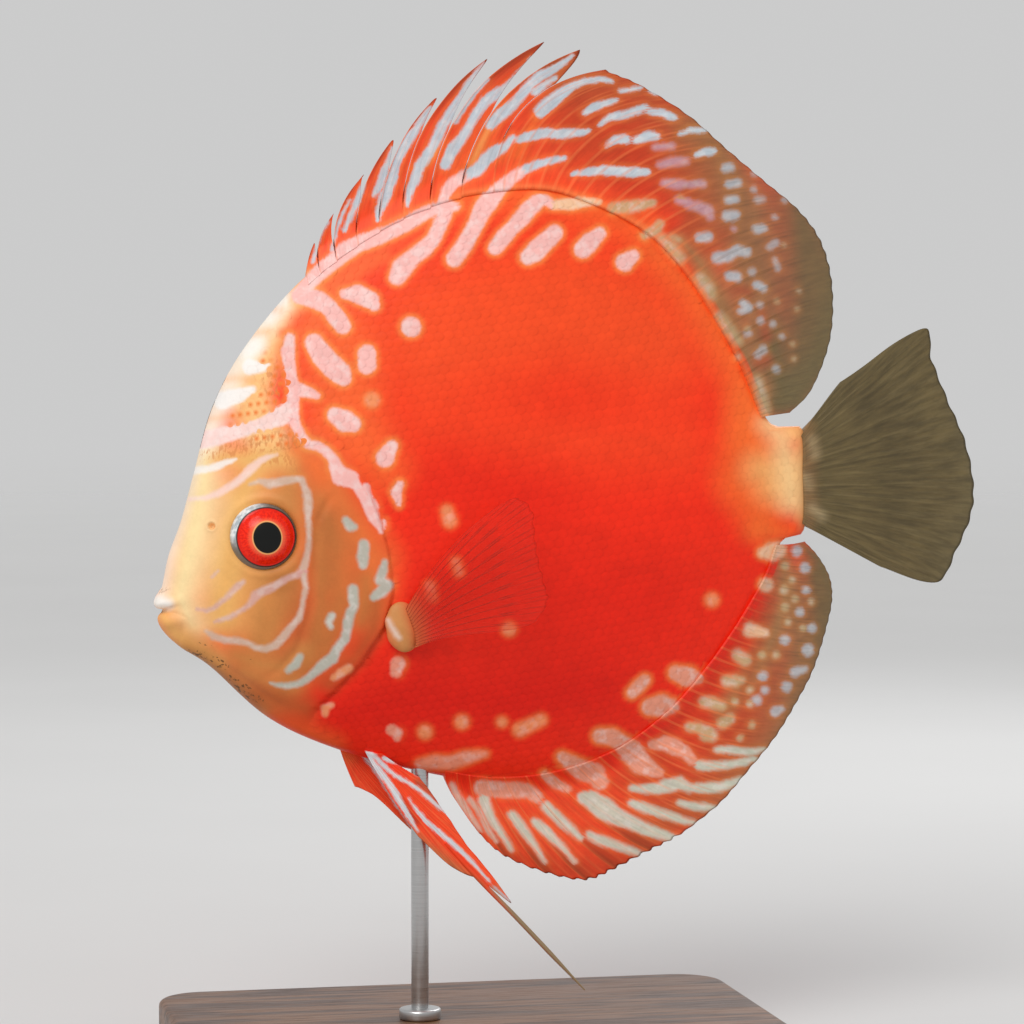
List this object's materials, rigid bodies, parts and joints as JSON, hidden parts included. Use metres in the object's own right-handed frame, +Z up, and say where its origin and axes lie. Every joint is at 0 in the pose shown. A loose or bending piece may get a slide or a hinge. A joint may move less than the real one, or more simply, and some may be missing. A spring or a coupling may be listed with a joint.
{
  "type": "discus fish display model",
  "caption": "Life-size still model of a disc-shaped aquarium fish, tipped nose down, held over a flat base by one slim rod.",
  "frame": {"origin": "on the floor, under the middle of the whole model's box", "axes": "+Z up, -X towards the snout, -Y out of the fish's left side"},
  "size_m": [0.1691, 0.08, 0.2031],
  "materials": {
    "head_skin": "satin scaled skin, cream and orange with fine pale blue lines",
    "flank_skin": "satin scaled skin, bright red to orange with pale pink bars and spots",
    "stalk_skin": "satin scaled skin, cream and orange",
    "eye": "wet glossy eye, red iris round a black pupil",
    "dorsal_spiny": "thin satin fin, red with pale blue streaks",
    "dorsal_soft": "thin translucent fin, brown red with pale spots",
    "anal_spiny": "thin satin fin, red with pale streaks",
    "anal_soft": "thin translucent fin, brown red with pale spots",
    "caudal": "thin translucent fin, grey brown with darker rays",
    "pectoral": "thin, nearly clear fin on a cream fleshy base",
    "pelvic": "narrow satin fin, orange red with white blue rays and a grey filament",
    "stand_wood": "dark satin wood",
    "stand_steel": "satin steel"
  },
  "bodies": {
    "root": {"head": "head_skin", "lower_jaw": "head_skin", "gill_cover_left": "head_skin", "gill_cover_right": "head_skin", "torso": "flank_skin", "tail_stalk": "stalk_skin", "eye_left": "eye", "eye_right": "eye", "dorsal_fin_spiny": "dorsal_spiny", "dorsal_fin_soft": "dorsal_soft", "anal_fin_spiny": "anal_spiny", "anal_fin_soft": "anal_soft", "caudal_fin": "caudal", "pectoral_fin_left": "pectoral", "pectoral_fin_right": "pectoral", "pelvic_fin_left": "pelvic", "pelvic_fin_right": "pelvic", "stand_base": "stand_wood", "stand_rod": "stand_steel"}
  },
  "joints": []
}
